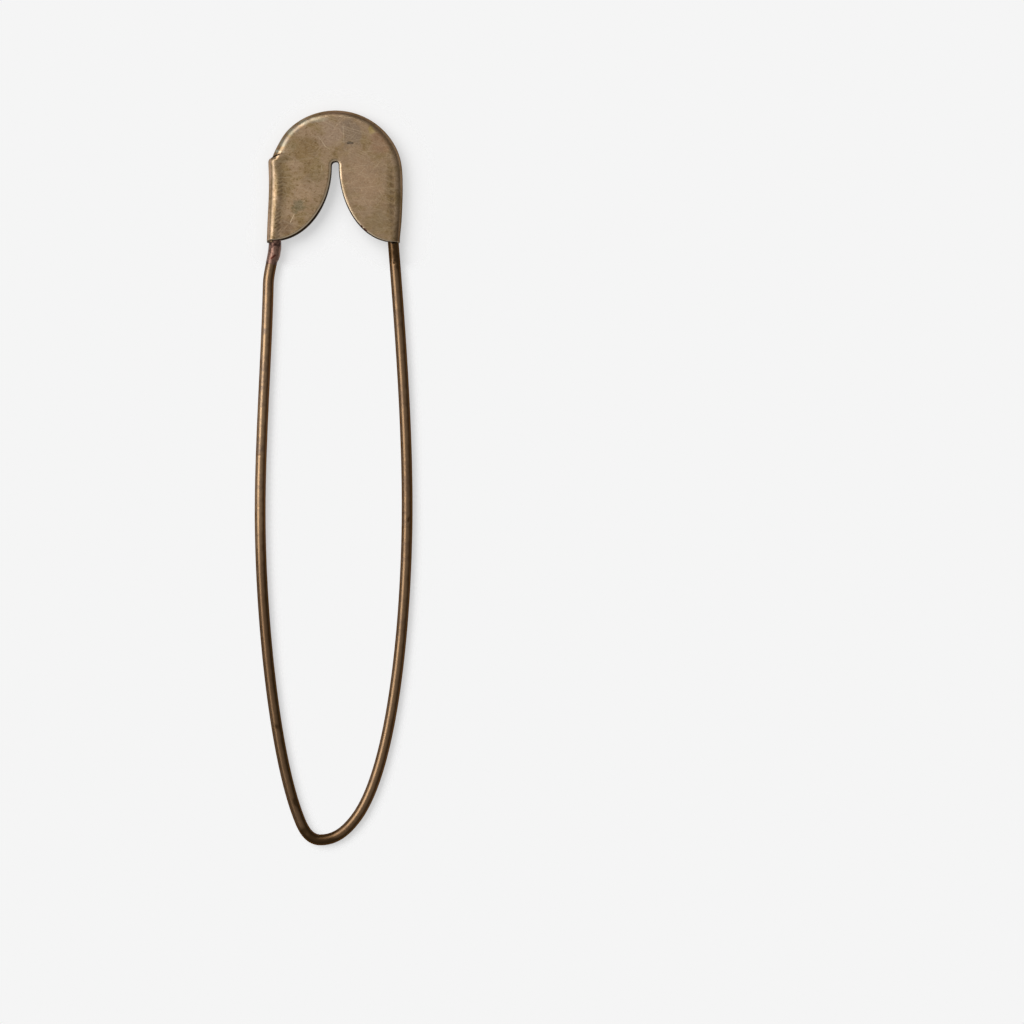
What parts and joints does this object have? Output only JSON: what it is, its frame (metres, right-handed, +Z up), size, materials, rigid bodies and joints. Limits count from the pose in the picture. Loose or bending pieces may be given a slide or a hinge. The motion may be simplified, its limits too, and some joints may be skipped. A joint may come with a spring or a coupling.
{
  "type": "safety pin",
  "caption": "Large closed safety pin: one bowed brass wire with a pointed free arm, hooked in a round folded-sheet cap that is crimped and brazed to the other arm.",
  "frame": {"origin": "on the surface that the pin lies on, under the middle of its whole length and width", "axes": "+Y from the bend towards the cap, +Z up out of the cap's front face, +X towards the free pointed arm"},
  "size_m": [0.0258, 0.12, 0.0027],
  "materials": {
    "cap_brass": "folded sheet with an old brown patina, mottled and scratched",
    "wire_brass": "drawn round wire with a brown patina, satin",
    "brazing_metal": "reddish brazing metal, slightly lumpy"
  },
  "bodies": {
    "fixed_side": {"head_cap": "cap_brass", "fixed_arm": "wire_brass", "braze_joint": "brazing_metal"},
    "bend": {"spring_bend": "wire_brass"},
    "free_arm": {"pin_arm": "wire_brass"}
  },
  "joints": [
    {"name": "pinch", "type": "hinge", "parent": "fixed_side", "child": "bend", "pos_m": [-0.0054, -0.0562, 0.00091], "axis": [0, 0, 1], "range_deg": [0, 4.7], "stiffness_Nm_per_rad": 0.3, "springref_deg": -5.73},
    {"name": "swing", "type": "hinge", "parent": "bend", "child": "free_arm", "pos_m": [-0.0022, -0.0591, 0.0009], "axis": [-0.9063, 0, 0.4226], "range_deg": [0, 30], "stiffness_Nm_per_rad": 0.3}
  ]
}
